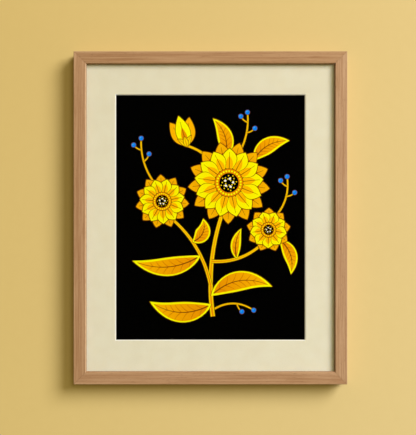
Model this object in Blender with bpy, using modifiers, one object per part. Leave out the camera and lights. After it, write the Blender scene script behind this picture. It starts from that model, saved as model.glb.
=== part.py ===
"""A framed art print for the wall.

Four mitred hardwood rails with a rebate hold, from the front, a sheet of clear glazing, a
window mat with a bevelled opening, the print, a mount board and a backing board. Flexible
steel tabs hold the stack in, V-nails pin the mitres, and the picture hangs on a sawtooth
hanger and leans on two rubber bumpers.

The origin is the top of the hanger's middle notch, on the plane of the wall. +Y points into
the wall and +Z up, so the picture faces -Y.
"""
import math

import bmesh
import bpy
from mathutils import Matrix, Vector

# Moulding and outer size
OUTER_WIDTH = 0.440
OUTER_HEIGHT = 0.5355
FACE_WIDTH = 0.0204
FRAME_DEPTH = 0.030
LIP_DEPTH = 0.006
LIP_OVERLAP = 0.005
SIGHT_CHAMFER = 0.0016
SIGHT_DROP = 0.0032
OUTER_ARRIS = 0.0010
BACK_ARRIS = 0.0008
ARRIS_STEPS = 4
BACK_ARRIS_STEPS = 2

# Gaps between pieces that touch or lie beside each other
TOUCH_GAP = 0.0003
SHEET_SIDE_PLAY = 0.0010

# The stack behind the lip, front to back
GLAZING_THICKNESS = 0.0020
MAT_THICKNESS = 0.0015
PRINT_THICKNESS = 0.0004
MOUNT_BOARD_THICKNESS = 0.0030
BACKING_THICKNESS = 0.0030

# The mat's window and the print under it
WINDOW_WIDTH = 0.3048
WINDOW_HEIGHT = 0.3953
WINDOW_RAISE = 0.0006
PRINT_MARGIN = 0.0120

# Sawtooth hanger and its screws
STAND_OFF = 0.0030
HANGER_LENGTH = 0.048
HANGER_HEIGHT = 0.010
HANGER_THICKNESS = 0.0008
HANGER_RISE = 0.0013
HANGER_PAD = 0.0090
HANGER_RAMP = 0.0016
HANGER_TOP_BELOW_EDGE = 0.0027
TOOTH_COUNT = 7
TOOTH_PITCH = 0.0036
TOOTH_DEPTH = 0.0025
TOOTH_TIP = 0.0002
SCREW_SHANK_RADIUS = 0.00125
SCREW_LENGTH = 0.0090
SCREW_HEAD_RADIUS = 0.0026
SCREW_HEAD_HEIGHT = 0.0014
SCREW_DOME_HEIGHT = 0.0008
SCREW_DOME_STEPS = 4
SCREW_POINT_LENGTH = 0.0022
SCREW_CROSS_SPAN = 0.0028
SCREW_CROSS_WIDTH = 0.0007
SCREW_CROSS_DEPTH = 0.0008
SCREW_SIDES = 20

# Flexible tabs
TAB_WIDTH = 0.0070
TAB_THICKNESS = 0.0005
TAB_IN_RAIL = 0.0045
TAB_OVER_BOARD = 0.0110
TAB_TAPER = 0.6
TAB_ROUND_STEPS = 8
TABS_ON_SIDE = 3
TABS_ON_END = 2

# V-nails across the mitres, at the back
VNAIL_LEG = 0.0065
VNAIL_THICKNESS = 0.0005
VNAIL_DEPTH = 0.0070
VNAIL_HALF_ANGLE = math.radians(35)
VNAIL_INSET = 0.0065

# Bumpers
BUMPER_RADIUS = 0.0055
BUMPER_INSET = 0.034
BUMPER_ARRIS = 0.0006
BUMPER_SIDES = 32

# Places worked out from the sizes above
BACK_Y = -STAND_OFF
FRONT_Y = BACK_Y - FRAME_DEPTH
HANGER_TOP_Z = HANGER_HEIGHT - TOOTH_DEPTH
TOP_Z = HANGER_TOP_Z + HANGER_TOP_BELOW_EDGE
CENTRE_Z = TOP_Z - OUTER_HEIGHT / 2
REBATE_INSET = FACE_WIDTH - LIP_OVERLAP
GLAZING_Y = FRONT_Y + LIP_DEPTH + TOUCH_GAP
MAT_Y = GLAZING_Y + GLAZING_THICKNESS + TOUCH_GAP
PRINT_Y = MAT_Y + MAT_THICKNESS + TOUCH_GAP
MOUNT_BOARD_Y = PRINT_Y + PRINT_THICKNESS + TOUCH_GAP
BACKING_Y = MOUNT_BOARD_Y + MOUNT_BOARD_THICKNESS + TOUCH_GAP
TAB_Y = BACKING_Y + BACKING_THICKNESS + TOUCH_GAP
SHEET_WIDTH = OUTER_WIDTH - 2 * REBATE_INSET - 2 * SHEET_SIDE_PLAY
SHEET_HEIGHT = OUTER_HEIGHT - 2 * REBATE_INSET - TOUCH_GAP - SHEET_SIDE_PLAY
SHEET_CENTRE_Z = CENTRE_Z + (TOUCH_GAP - SHEET_SIDE_PLAY) / 2
WINDOW_CENTRE_Z = CENTRE_Z + WINDOW_RAISE
SCREW_X = HANGER_LENGTH / 2 - HANGER_PAD / 2
SCREW_Z = HANGER_TOP_Z - HANGER_HEIGHT / 2
PILOT_RADIUS = SCREW_SHANK_RADIUS + TOUCH_GAP

# Finishes: colour, roughness, metallic, transmission
FINISHES = {
    "wood": ((0.45, 0.24, 0.11), 0.5, 0.0, 0.0),
    "glazing": ((0.95, 0.98, 0.97), 0.02, 0.0, 1.0),
    "mat_board": ((0.75, 0.68, 0.47), 0.9, 0.0, 0.0),
    "art_print": ((0.004, 0.004, 0.004), 0.8, 0.0, 0.0),
    "mount_board": ((0.80, 0.78, 0.72), 0.9, 0.0, 0.0),
    "backing_board": ((0.40, 0.27, 0.16), 0.8, 0.0, 0.0),
    "steel": ((0.62, 0.62, 0.63), 0.35, 1.0, 0.0),
    "rubber": ((0.05, 0.05, 0.05), 0.7, 0.0, 0.0),
}

MERGE = 0.000001
SHARP_ANGLE = math.radians(40)


def clear_scene():
    """Removes every object of the scene that the script starts in."""
    for old in list(bpy.data.objects):
        bpy.data.objects.remove(old, do_unlink=True)


def new_collection(name):
    """Adds a collection to the scene."""
    collection = bpy.data.collections.new(name)
    bpy.context.scene.collection.children.link(collection)
    return collection


def new_material(name):
    """Makes the Principled material of a named finish."""
    colour, roughness, metallic, transmission = FINISHES[name]
    material = bpy.data.materials.new(name)
    material.use_nodes = True
    shader = material.node_tree.nodes["Principled BSDF"]
    shader.inputs["Base Color"].default_value = (*colour, 1.0)
    shader.inputs["Roughness"].default_value = roughness
    shader.inputs["Metallic"].default_value = metallic
    shader.inputs["Transmission Weight"].default_value = transmission
    return material


def add_object(name, mesh, collection, material=None):
    """Puts a mesh in the scene as a named object."""
    piece = bpy.data.objects.new(name, mesh)
    if material is not None:
        mesh.materials.clear()
        mesh.materials.append(material)
    collection.objects.link(piece)
    return piece


def add_cutter(name, mesh, collection):
    """Puts a mesh in the scene as a guide that only cuts."""
    cutter = add_object(name, mesh, collection)
    cutter.hide_render = True
    cutter.display_type = "WIRE"
    return cutter


def cut(piece, *cutters):
    """Takes each cutter's shape out of a piece."""
    for cutter in cutters:
        modifier = piece.modifiers.new("cut_" + cutter.name, "BOOLEAN")
        modifier.operation = "DIFFERENCE"
        modifier.solver = "EXACT"
        modifier.object = cutter


def mesh_from_bmesh(name, bm):
    """Turns a bmesh into a mesh with its faces pointing out."""
    bmesh.ops.recalc_face_normals(bm, faces=bm.faces)
    mesh = bpy.data.meshes.new(name)
    bm.to_mesh(mesh)
    bm.free()
    mesh.shade_flat()
    return mesh


def shade_round(mesh):
    """Shades a round mesh smooth, with its hard edges kept."""
    mesh.shade_smooth()
    mesh.set_sharp_from_angle(angle=SHARP_ANGLE)


def outline_mesh(name, points, thickness):
    """Fills a flat outline and gives it a thickness along local Z, centred on Z = 0."""
    curve = bpy.data.curves.new(name, "CURVE")
    curve.dimensions = "2D"
    curve.fill_mode = "BOTH"
    curve.extrude = thickness / 2
    spline = curve.splines.new("POLY")
    spline.points.add(len(points) - 1)
    for spline_point, (across, along) in zip(spline.points, points):
        spline_point.co = (across, along, 0.0, 1.0)
    spline.use_cyclic_u = True
    guide = bpy.data.objects.new(name, curve)
    bpy.context.scene.collection.objects.link(guide)
    depsgraph = bpy.context.evaluated_depsgraph_get()
    mesh = bpy.data.meshes.new_from_object(guide.evaluated_get(depsgraph))
    bpy.data.objects.remove(guide, do_unlink=True)
    bpy.data.curves.remove(curve)
    bm = bmesh.new()
    bm.from_mesh(mesh)
    bpy.data.meshes.remove(mesh)
    bmesh.ops.remove_doubles(bm, verts=bm.verts, dist=MERGE)
    return mesh_from_bmesh(name, bm)


def box_mesh(name, low, high):
    """A box between two corners."""
    low, high = Vector(low), Vector(high)
    bm = bmesh.new()
    bmesh.ops.create_cube(bm, size=1.0)
    bmesh.ops.scale(bm, vec=high - low, verts=bm.verts)
    bmesh.ops.translate(bm, vec=(low + high) / 2, verts=bm.verts)
    return mesh_from_bmesh(name, bm)


def rounded_outline(corners):
    """Rounds the corners of an outline: each corner is (across, along, radius, steps)."""
    points = []
    for index, (across, along, radius, steps) in enumerate(corners):
        corner = Vector((across, along))
        if radius == 0:
            points.append(tuple(corner))
            continue
        before = Vector(corners[index - 1][:2])
        after = Vector(corners[(index + 1) % len(corners)][:2])
        start = (before - corner).normalized()
        end = (after - corner).normalized()
        centre = corner + (start + end) * radius
        for step in range(steps + 1):
            turn = math.pi / 2 * step / steps
            points.append(tuple(centre - end * radius * math.cos(turn) - start * radius * math.sin(turn)))
    return points


def rail_mesh(name, length):
    """One rail as a top rail: outer edge on Z = 0, inner edge below it, front face on Y = 0."""
    profile = rounded_outline([
        (0.0, 0.0, OUTER_ARRIS, ARRIS_STEPS),
        (FACE_WIDTH - SIGHT_CHAMFER, 0.0, 0.0, 0),
        (FACE_WIDTH, SIGHT_DROP, 0.0, 0),
        (FACE_WIDTH, LIP_DEPTH, 0.0, 0),
        (REBATE_INSET, LIP_DEPTH, 0.0, 0),
        (REBATE_INSET, FRAME_DEPTH, 0.0, 0),
        (0.0, FRAME_DEPTH, BACK_ARRIS, BACK_ARRIS_STEPS),
    ])
    mesh = outline_mesh(name, profile, length)
    joint_gap = TOUCH_GAP / 2 * math.sqrt(2)
    for vertex in mesh.vertices:
        inset, depth, along = vertex.co
        mitred = length / 2 - inset - joint_gap
        vertex.co = (math.copysign(mitred, along), depth, -inset)
    bm = bmesh.new()
    bm.from_mesh(mesh)
    bpy.data.meshes.remove(mesh)
    return mesh_from_bmesh(name, bm)


def rail_places():
    """Name, length, place of the outer edge's middle, and turn about Y for each rail."""
    return [
        ("top", OUTER_WIDTH, (0.0, TOP_Z), 0.0),
        ("right", OUTER_HEIGHT, (OUTER_WIDTH / 2, CENTRE_Z), math.pi / 2),
        ("bottom", OUTER_WIDTH, (0.0, TOP_Z - OUTER_HEIGHT), math.pi),
        ("left", OUTER_HEIGHT, (-OUTER_WIDTH / 2, CENTRE_Z), -math.pi / 2),
    ]


def tab_places(length, count):
    """Places of the tabs along a rail, measured from its middle."""
    return [length * ((index + 0.5) / count - 0.5) for index in range(count)]


def tab_mesh():
    """A tab as it sits in the top rail: X along the rail, its round end down, over the board."""
    half = TAB_WIDTH / 2
    straight = TAB_OVER_BOARD - half
    point = half * TAB_TAPER
    points = [(-half, 0.0), (-point, TAB_IN_RAIL), (point, TAB_IN_RAIL), (half, 0.0)]
    for step in range(TAB_ROUND_STEPS + 1):
        turn = math.pi * step / TAB_ROUND_STEPS
        points.append((half * math.cos(turn), -straight - half * math.sin(turn)))
    mesh = outline_mesh("tab", points, TAB_THICKNESS)
    mesh.transform(Matrix.Rotation(math.pi / 2, 4, "X"))
    return mesh


def tab_slot_mesh():
    """The slot that a tab's driven end sits in, with a gap all round."""
    return box_mesh(
        "tab_slot",
        (-TAB_WIDTH / 2 - TOUCH_GAP, -TAB_THICKNESS / 2 - TOUCH_GAP, -TOUCH_GAP),
        (TAB_WIDTH / 2 + TOUCH_GAP, TAB_THICKNESS / 2 + TOUCH_GAP, TAB_IN_RAIL + TOUCH_GAP),
    )


def vnail_outline(thickness):
    """A V with its point on the mitre line and its two legs pointing up, one in each rail."""
    spread = math.sin(VNAIL_HALF_ANGLE)
    rise = math.cos(VNAIL_HALF_ANGLE)
    grow = thickness - VNAIL_THICKNESS
    leg = VNAIL_LEG + grow / 2
    outside = thickness / 2 / spread
    side = Vector((rise, -spread)) * thickness / 2
    tip = Vector((spread, rise)) * leg
    right_low = tip + side
    right_high = tip - side
    return [
        (0.0, -outside),
        tuple(right_low),
        tuple(right_high),
        (0.0, outside),
        (-right_high.x, right_high.y),
        (-right_low.x, right_low.y),
    ]


def vnail_mesh(name, thickness, depth, start):
    """A V-nail or its slot, standing along Y from the depth start to start plus depth."""
    mesh = outline_mesh(name, vnail_outline(thickness), depth)
    mesh.transform(Matrix.Rotation(math.pi / 2, 4, "X"))
    mesh.transform(Matrix.Translation((0.0, start + depth / 2, 0.0)))
    return mesh


def build_rails(collection, material):
    """The four mitred rails, before their slots and holes are cut."""
    rails = {}
    for side, length, (x, z), turn in rail_places():
        mesh = rail_mesh("rail_" + side, length)
        rail = add_object("rail_" + side, mesh, collection, material)
        rail.location = (x, FRONT_Y, z)
        rail.rotation_euler = (0.0, turn, 0.0)
        rails[side] = rail
    return rails


def build_tabs(collection, cutters, rails, material):
    """Tabs along the inside of every rail, each driven into a slot."""
    tab = tab_mesh()
    slot = tab_slot_mesh()
    for side, length, (x, z), turn in rail_places():
        count = TABS_ON_END if length == OUTER_WIDTH else TABS_ON_SIDE
        for number, along in enumerate(tab_places(length - 2 * REBATE_INSET, count), 1):
            place = Matrix.Translation((x, TAB_Y + TAB_THICKNESS / 2, z))
            place @= Matrix.Rotation(turn, 4, "Y")
            place @= Matrix.Translation((along, 0.0, -REBATE_INSET))
            piece = add_object(f"tab_{side}_{number}", tab.copy(), collection, material)
            piece.matrix_world = place
            cutter = add_cutter(f"slot_{side}_{number}", slot, cutters)
            cutter.matrix_world = place
            cut(rails[side], cutter)


def build_vnails(collection, cutters, rails, material):
    """One V-nail at each mitre, flush with the back, its slot cut in both rails."""
    nail = vnail_mesh("vnail", VNAIL_THICKNESS, VNAIL_DEPTH, BACK_Y - VNAIL_DEPTH)
    slot = vnail_mesh("vnail_slot", VNAIL_THICKNESS + 2 * TOUCH_GAP, VNAIL_DEPTH + 2 * TOUCH_GAP,
                      BACK_Y - VNAIL_DEPTH - TOUCH_GAP)
    corners = [(level, side, right, up) for level, up in (("top", 1), ("bottom", -1))
               for side, right in (("right", 1), ("left", -1))]
    for level, side, right, up in corners:
        x = right * (OUTER_WIDTH / 2 - VNAIL_INSET)
        z = CENTRE_Z + up * (OUTER_HEIGHT / 2 - VNAIL_INSET)
        turn = math.atan2(right, up)
        place = Matrix.Translation((x, 0.0, z)) @ Matrix.Rotation(turn + math.pi, 4, "Y")
        piece = add_object(f"vnail_{level}_{side}", nail.copy(), collection, material)
        piece.matrix_world = place
        cutter = add_cutter(f"vnail_slot_{level}_{side}", slot, cutters)
        cutter.matrix_world = place
        cut(rails[level], cutter)
        cut(rails[side], cutter)


def build_sheets(collection, cutters, materials):
    """The glazing, mat, print, mount board and backing board, front to back."""
    half_width = SHEET_WIDTH / 2
    low_z = SHEET_CENTRE_Z - SHEET_HEIGHT / 2
    high_z = SHEET_CENTRE_Z + SHEET_HEIGHT / 2
    sheets = [
        ("glazing", GLAZING_Y, GLAZING_THICKNESS),
        ("mat_board", MAT_Y, MAT_THICKNESS),
        ("mount_board", MOUNT_BOARD_Y, MOUNT_BOARD_THICKNESS),
        ("backing_board", BACKING_Y, BACKING_THICKNESS),
    ]
    built = {}
    for name, front, thickness in sheets:
        mesh = box_mesh(name, (-half_width, front, low_z), (half_width, front + thickness, high_z))
        built[name] = add_object(name, mesh, collection, materials[name])
    print_half = (WINDOW_WIDTH / 2 + PRINT_MARGIN, WINDOW_HEIGHT / 2 + PRINT_MARGIN)
    mesh = box_mesh(
        "art_print",
        (-print_half[0], PRINT_Y, WINDOW_CENTRE_Z - print_half[1]),
        (print_half[0], PRINT_Y + PRINT_THICKNESS, WINDOW_CENTRE_Z + print_half[1]),
    )
    add_object("art_print", mesh, collection, materials["art_print"])
    window = add_cutter("mat_window", mat_window_mesh(), cutters)
    cut(built["mat_board"], window)


def mat_window_mesh():
    """The mat's opening, cut at 45 degrees so that it widens towards the front."""
    overrun = 0.001
    back_y = MAT_Y + MAT_THICKNESS
    mesh = box_mesh(
        "mat_window",
        (-WINDOW_WIDTH / 2, MAT_Y - overrun, WINDOW_CENTRE_Z - WINDOW_HEIGHT / 2),
        (WINDOW_WIDTH / 2, back_y + overrun, WINDOW_CENTRE_Z + WINDOW_HEIGHT / 2),
    )
    for vertex in mesh.vertices:
        wider = back_y - vertex.co.y
        above = vertex.co.z - WINDOW_CENTRE_Z
        vertex.co.x = math.copysign(WINDOW_WIDTH / 2 + wider, vertex.co.x)
        vertex.co.z = WINDOW_CENTRE_Z + math.copysign(WINDOW_HEIGHT / 2 + wider, above)
    return mesh


def hanger_outline():
    """The hanger's strip seen from above: flat pads, ramps and a raised middle that takes the nail."""
    half = HANGER_LENGTH / 2
    flat = half - HANGER_PAD
    raised = flat - HANGER_RAMP
    near = TOUCH_GAP
    far = near + HANGER_RISE
    wall_side = [(-half, near), (-flat, near), (-raised, far), (raised, far), (flat, near), (half, near)]
    outer_side = [(x, y + HANGER_THICKNESS) for x, y in reversed(wall_side)]
    return wall_side + outer_side


def tooth_cutter_outline():
    """The row of notches in the hanger's lower edge, the middle one's top on the origin."""
    half = TOOTH_COUNT * TOOTH_PITCH / 2
    below = -TOOTH_DEPTH - TOOTH_TIP
    points = [(-half, below - TOOTH_DEPTH), (-half, below)]
    for index in range(TOOTH_COUNT):
        middle = (index - (TOOTH_COUNT - 1) / 2) * TOOTH_PITCH
        points.append((middle - TOOTH_TIP, 0.0))
        points.append((middle + TOOTH_TIP, 0.0))
        points.append((middle + TOOTH_PITCH / 2, below))
    points.append((half, below - TOOTH_DEPTH))
    return points


def cylinder_mesh(name, radius, start_y, end_y, sides):
    """A cylinder along Y between two depths."""
    bm = bmesh.new()
    bmesh.ops.create_cone(
        bm, cap_ends=True, segments=sides, radius1=radius, radius2=radius, depth=abs(end_y - start_y)
    )
    mesh = mesh_from_bmesh(name, bm)
    mesh.transform(Matrix.Rotation(math.pi / 2, 4, "X"))
    mesh.transform(Matrix.Translation((0.0, (start_y + end_y) / 2, 0.0)))
    shade_round(mesh)
    return mesh


def screw_mesh(name):
    """A pan-head screw's profile, to turn about local Z: its head is up, its underside on Z = 0."""
    rim = SCREW_HEAD_HEIGHT - SCREW_DOME_HEIGHT
    profile = [(0.0, SCREW_HEAD_HEIGHT)]
    for step in range(1, SCREW_DOME_STEPS + 1):
        turn = math.pi / 2 * step / SCREW_DOME_STEPS
        profile.append((SCREW_HEAD_RADIUS * math.sin(turn), rim + SCREW_DOME_HEIGHT * math.cos(turn)))
    profile += [
        (SCREW_HEAD_RADIUS, 0.0),
        (SCREW_SHANK_RADIUS, 0.0),
        (SCREW_SHANK_RADIUS, SCREW_POINT_LENGTH - SCREW_LENGTH),
        (0.0, -SCREW_LENGTH),
    ]
    mesh = bpy.data.meshes.new(name)
    corners = [(radius, 0.0, height) for radius, height in profile]
    mesh.from_pydata(corners, [(index, index + 1) for index in range(len(corners) - 1)], [])
    return mesh


def turn_on_lathe(piece):
    """Turns a profile about the object's own Z."""
    lathe = piece.modifiers.new("turned", "SCREW")
    lathe.axis = "Z"
    lathe.steps = SCREW_SIDES
    lathe.render_steps = SCREW_SIDES
    lathe.use_merge_vertices = True
    lathe.merge_threshold = MERGE


def slot_mesh(name, half_x, half_y):
    """One slot of the cross recess in a screw's head."""
    floor = SCREW_HEAD_HEIGHT - SCREW_CROSS_DEPTH
    return box_mesh(name, (-half_x, -half_y, floor), (half_x, half_y, SCREW_HEAD_HEIGHT * 2))


def build_hanger(collection, cutters, rails, material):
    """The sawtooth hanger on the back of the top rail, with its two screws."""
    mesh = outline_mesh("sawtooth_hanger", hanger_outline(), HANGER_HEIGHT)
    mesh.transform(Matrix.Translation((0.0, BACK_Y, SCREW_Z)))
    hanger = add_object("sawtooth_hanger", mesh, collection, material)
    teeth = outline_mesh("hanger_teeth", tooth_cutter_outline(), STAND_OFF * 4)
    teeth.transform(Matrix.Rotation(math.pi / 2, 4, "X"))
    cut(hanger, add_cutter("hanger_teeth", teeth, cutters))
    head_y = BACK_Y + TOUCH_GAP + HANGER_THICKNESS + TOUCH_GAP
    turn = Matrix.Rotation(-math.pi / 2, 4, "X")
    for side, x in (("left", -SCREW_X), ("right", SCREW_X)):
        screw = add_object("hanger_screw_" + side, screw_mesh("hanger_screw"), collection, material)
        screw.matrix_world = Matrix.Translation((x, head_y, SCREW_Z)) @ turn
        turn_on_lathe(screw)
        long, short = SCREW_CROSS_SPAN / 2, SCREW_CROSS_WIDTH / 2
        for slot, half_x, half_y in (("across", long, short), ("upright", short, long)):
            cutter = add_cutter(f"{slot}_{side}", slot_mesh(slot, half_x, half_y), cutters)
            cutter.matrix_world = screw.matrix_world
            cut(screw, cutter)
        hole = cylinder_mesh("pilot", PILOT_RADIUS, BACK_Y - SCREW_LENGTH, STAND_OFF, SCREW_SIDES)
        pilot = add_cutter("pilot_" + side, hole, cutters)
        pilot.location = (x, 0.0, SCREW_Z)
        cut(hanger, pilot)
        cut(rails["top"], pilot)


def build_bumpers(collection, material):
    """A round rubber bumper near each lower corner of the back."""
    z = TOP_Z - OUTER_HEIGHT + REBATE_INSET / 2
    for side, direction in (("left", -1), ("right", 1)):
        mesh = cylinder_mesh("bumper", BUMPER_RADIUS, BACK_Y + TOUCH_GAP, 0.0, BUMPER_SIDES)
        bumper = add_object("bumper_" + side, mesh, collection, material)
        bumper.location = (direction * (OUTER_WIDTH / 2 - BUMPER_INSET), 0.0, z)
        bevel = bumper.modifiers.new("soft_edge", "BEVEL")
        bevel.width = BUMPER_ARRIS
        bevel.segments = 2
        bevel.limit_method = "ANGLE"


def main():
    """Builds the whole picture."""
    clear_scene()
    collection = new_collection("framed_art_print")
    cutters = new_collection("cutters")
    materials = {name: new_material(name) for name in FINISHES}
    rails = build_rails(collection, materials["wood"])
    build_sheets(collection, cutters, materials)
    build_tabs(collection, cutters, rails, materials["steel"])
    build_vnails(collection, cutters, rails, materials["steel"])
    build_hanger(collection, cutters, rails, materials["steel"])
    build_bumpers(collection, materials["rubber"])


main()
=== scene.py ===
"""Looks of the framed art print: finishes for every piece, the printed sheet, and the studio.

The frame's solids come packed, in metres, with the picture facing -Y and hanging from the origin.
"""
import logging
import math
from dataclasses import dataclass, field
from enum import Enum

import bmesh
import bpy
from bmesh.types import BMesh, BMLayerItem, BMVert
from bpy.types import Camera, Light, Material, Mesh, Node, NodeSocket as Socket, Object
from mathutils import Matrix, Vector
from mathutils.geometry import delaunay_2d_cdt


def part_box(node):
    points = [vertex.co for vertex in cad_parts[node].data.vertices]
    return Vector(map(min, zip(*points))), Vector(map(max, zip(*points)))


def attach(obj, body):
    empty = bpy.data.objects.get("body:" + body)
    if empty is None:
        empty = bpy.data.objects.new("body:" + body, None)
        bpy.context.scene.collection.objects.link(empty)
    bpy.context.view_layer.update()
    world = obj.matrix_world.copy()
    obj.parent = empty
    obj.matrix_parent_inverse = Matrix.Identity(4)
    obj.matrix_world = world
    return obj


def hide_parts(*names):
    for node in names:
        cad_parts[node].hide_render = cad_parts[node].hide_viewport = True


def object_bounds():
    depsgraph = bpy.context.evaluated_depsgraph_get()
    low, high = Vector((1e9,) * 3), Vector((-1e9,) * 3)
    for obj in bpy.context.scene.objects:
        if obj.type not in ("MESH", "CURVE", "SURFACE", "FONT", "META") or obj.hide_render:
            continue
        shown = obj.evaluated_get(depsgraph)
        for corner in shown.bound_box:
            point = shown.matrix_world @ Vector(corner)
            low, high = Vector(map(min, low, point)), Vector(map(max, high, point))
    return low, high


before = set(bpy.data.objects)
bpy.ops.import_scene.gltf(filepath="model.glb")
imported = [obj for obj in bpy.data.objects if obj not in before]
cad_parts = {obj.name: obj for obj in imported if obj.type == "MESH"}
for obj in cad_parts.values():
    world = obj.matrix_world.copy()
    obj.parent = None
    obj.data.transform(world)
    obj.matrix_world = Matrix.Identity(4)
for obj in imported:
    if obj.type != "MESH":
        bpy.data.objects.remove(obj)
CAD_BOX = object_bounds()

logging.basicConfig(level=logging.INFO, format="%(message)s")
LOG = logging.getLogger("framed_art_print")

Point = tuple[float, float]
Outline = tuple[Point, ...]
Triple = tuple[float, float, float]
Colour = Triple
Box = tuple[Triple, Triple]

MM = 0.001
BODY = "root"
INK_LAYER = "ink"
BAKE_MAP = "OFBake"
PAPER_WHITE = (0.80, 0.79, 0.76)
GOLDEN_TURN = math.pi * (3.0 - math.sqrt(5.0))
LEAST_HALF = 0.05
BLADE_STEPS = 16
SIGHT_CHAMFER = 1.6 * MM
SIGHT_DROP = 3.2 * MM

# The Mix node's sockets when it mixes colours
MIX_SHARE = 0
MIX_FIRST = 6
MIX_SECOND = 7
MIX_RESULT = 2


def linear(red: int, green: int, blue: int) -> Colour:
    """Turns a colour on the usual 0 to 255 scale into linear light.

    Args:
        red: Red from 0 to 255.
        green: Green from 0 to 255.
        blue: Blue from 0 to 255.

    Returns:
        The three linear channels from 0 to 1.
    """
    channels = []
    for value in (red, green, blue):
        share = value / 255
        channels.append(share / 12.92 if share <= 0.04045 else ((share + 0.055) / 1.055) ** 2.4)
    return tuple(channels)


def add_object(data: Mesh | Light | Camera) -> Object:
    """Puts a mesh, a light or a camera in the scene.

    Args:
        data: What to put there.

    Returns:
        An object of the same name.
    """
    made = bpy.data.objects.new(data.name, data)
    bpy.context.scene.collection.objects.link(made)
    return made


class Graph:
    """The node graph of one material, with short ways to add and join nodes."""

    def __init__(self, name: str) -> None:
        """Starts a material with one Principled shader.

        Args:
            name: The material's name.
        """
        self.material = bpy.data.materials.new(name)
        self.material.use_nodes = True
        self.tree = self.material.node_tree
        self.shader = self.tree.nodes["Principled BSDF"]
        self.output = self.tree.nodes["Material Output"]

    def node(self, kind: str, **settings: object) -> Node:
        """Adds a node.

        Args:
            kind: The node's type, without the words ShaderNode.
            **settings: Attributes to set on it.

        Returns:
            The new node.
        """
        made = self.tree.nodes.new("ShaderNode" + kind)
        for key, value in settings.items():
            setattr(made, key, value)
        return made

    def join(self, source: Socket, target: Socket) -> None:
        """Links an output to an input."""
        self.tree.links.new(source, target)

    def place(self, stretch: float | Triple = 1.0, shift: Triple = (0.0, 0.0, 0.0)) -> Socket:
        """Gives the place on the object, stretched for a pattern.

        Args:
            stretch: How many pattern units fit in a metre, for all axes or for each.
            shift: Where the pattern starts, in pattern units.

        Returns:
            The stretched coordinates.
        """
        where = self.node("TexCoord")
        mapping = self.node("Mapping")
        mapping.inputs["Scale"].default_value = stretch if isinstance(stretch, tuple) else (stretch,) * 3
        mapping.inputs["Location"].default_value = shift
        self.join(where.outputs["Object"], mapping.inputs["Vector"])
        return mapping.outputs["Vector"]

    def axes(self, vector: Socket) -> bpy.types.bpy_prop_collection:
        """Parts a vector.

        Args:
            vector: The vector.

        Returns:
            Its three values, by the names X, Y and Z.
        """
        made = self.node("SeparateXYZ")
        self.join(vector, made.inputs["Vector"])
        return made.outputs

    def noise(self, vector: Socket, detail: float = 2.0, roughness: float = 0.5) -> Socket:
        """Adds a noise pattern of about one unit.

        Args:
            vector: The stretched coordinates.
            detail: Octaves of finer noise.
            roughness: How strong the finer octaves are.

        Returns:
            The noise, from 0 to 1 around 0.5.
        """
        made = self.node("TexNoise")
        made.inputs["Scale"].default_value = 1.0
        made.inputs["Detail"].default_value = detail
        made.inputs["Roughness"].default_value = roughness
        self.join(vector, made.inputs["Vector"])
        return made.outputs["Fac"]

    def spread(
        self, source: Socket, low: float, high: float, to_low: float = 0.0, to_high: float = 1.0
    ) -> Socket:
        """Maps a range of values onto another, held at its ends.

        Args:
            source: The values.
            low: The value that becomes to_low.
            high: The value that becomes to_high.
            to_low: The result at low.
            to_high: The result at high.

        Returns:
            The mapped values.
        """
        made = self.node("MapRange")
        limits = {"From Min": low, "From Max": high, "To Min": to_low, "To Max": to_high}
        for key, value in limits.items():
            made.inputs[key].default_value = value
        self.join(source, made.inputs["Value"])
        return made.outputs["Result"]

    def sums(self, operation: str, first: Socket, second: Socket | float = 0.0) -> Socket:
        """Does one sum on two values.

        Args:
            operation: Blender's name of the sum.
            first: The first value.
            second: The second value, a socket or a number, where the sum takes one.

        Returns:
            The result.
        """
        made = self.node("Math", operation=operation)
        self.join(first, made.inputs[0])
        if isinstance(second, Socket):
            self.join(second, made.inputs[1])
        else:
            made.inputs[1].default_value = second
        return made.outputs[0]

    def blend(
        self, share: Socket | float, first: Socket | Colour, second: Socket | Colour, mode: str = "MIX"
    ) -> Socket:
        """Mixes two colours.

        Args:
            share: How much of the second colour, a socket or a number.
            first: The first colour.
            second: The second colour.
            mode: Blender's name of the way to mix.

        Returns:
            The mixed colour.
        """
        made = self.node("Mix", data_type="RGBA", blend_type=mode)
        for number, value in ((MIX_SHARE, share), (MIX_FIRST, first), (MIX_SECOND, second)):
            target = made.inputs[number]
            if isinstance(value, Socket):
                self.join(value, target)
            else:
                target.default_value = (*value, 1.0) if isinstance(value, tuple) else value
        return made.outputs[MIX_RESULT]

    def relief(self, height: Socket, depth: float, strength: float) -> None:
        """Gives the shader a bump.

        Args:
            height: The pattern's height from 0 to 1.
            depth: How deep that is, in metres.
            strength: How much of it shows.
        """
        bump = self.node("Bump")
        bump.inputs["Strength"].default_value = strength
        bump.inputs["Distance"].default_value = depth
        self.join(height, bump.inputs["Height"])
        self.join(bump.outputs["Normal"], self.shader.inputs["Normal"])

    def see_through(self, share: Socket) -> None:
        """Lets the view and the light pass the surface.

        Args:
            share: How much passes, from 0 to 1.
        """
        clear = self.node("BsdfTransparent")
        mixer = self.node("MixShader")
        self.join(share, mixer.inputs["Fac"])
        self.join(self.shader.outputs["BSDF"], mixer.inputs[1])
        self.join(clear.outputs["BSDF"], mixer.inputs[2])
        self.join(mixer.outputs["Shader"], self.output.inputs["Surface"])

    def colour(self, source: Socket) -> None:
        """Sends a colour to the shader."""
        self.join(source, self.shader.inputs["Base Color"])

    def roughness(self, source: Socket) -> None:
        """Sends a roughness to the shader."""
        self.join(source, self.shader.inputs["Roughness"])

    def set(self, **values: float) -> None:
        """Sets plain values on the shader's sockets, spaces in names written as underscores."""
        for key, value in values.items():
            self.shader.inputs[key.replace("_", " ")].default_value = value


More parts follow.
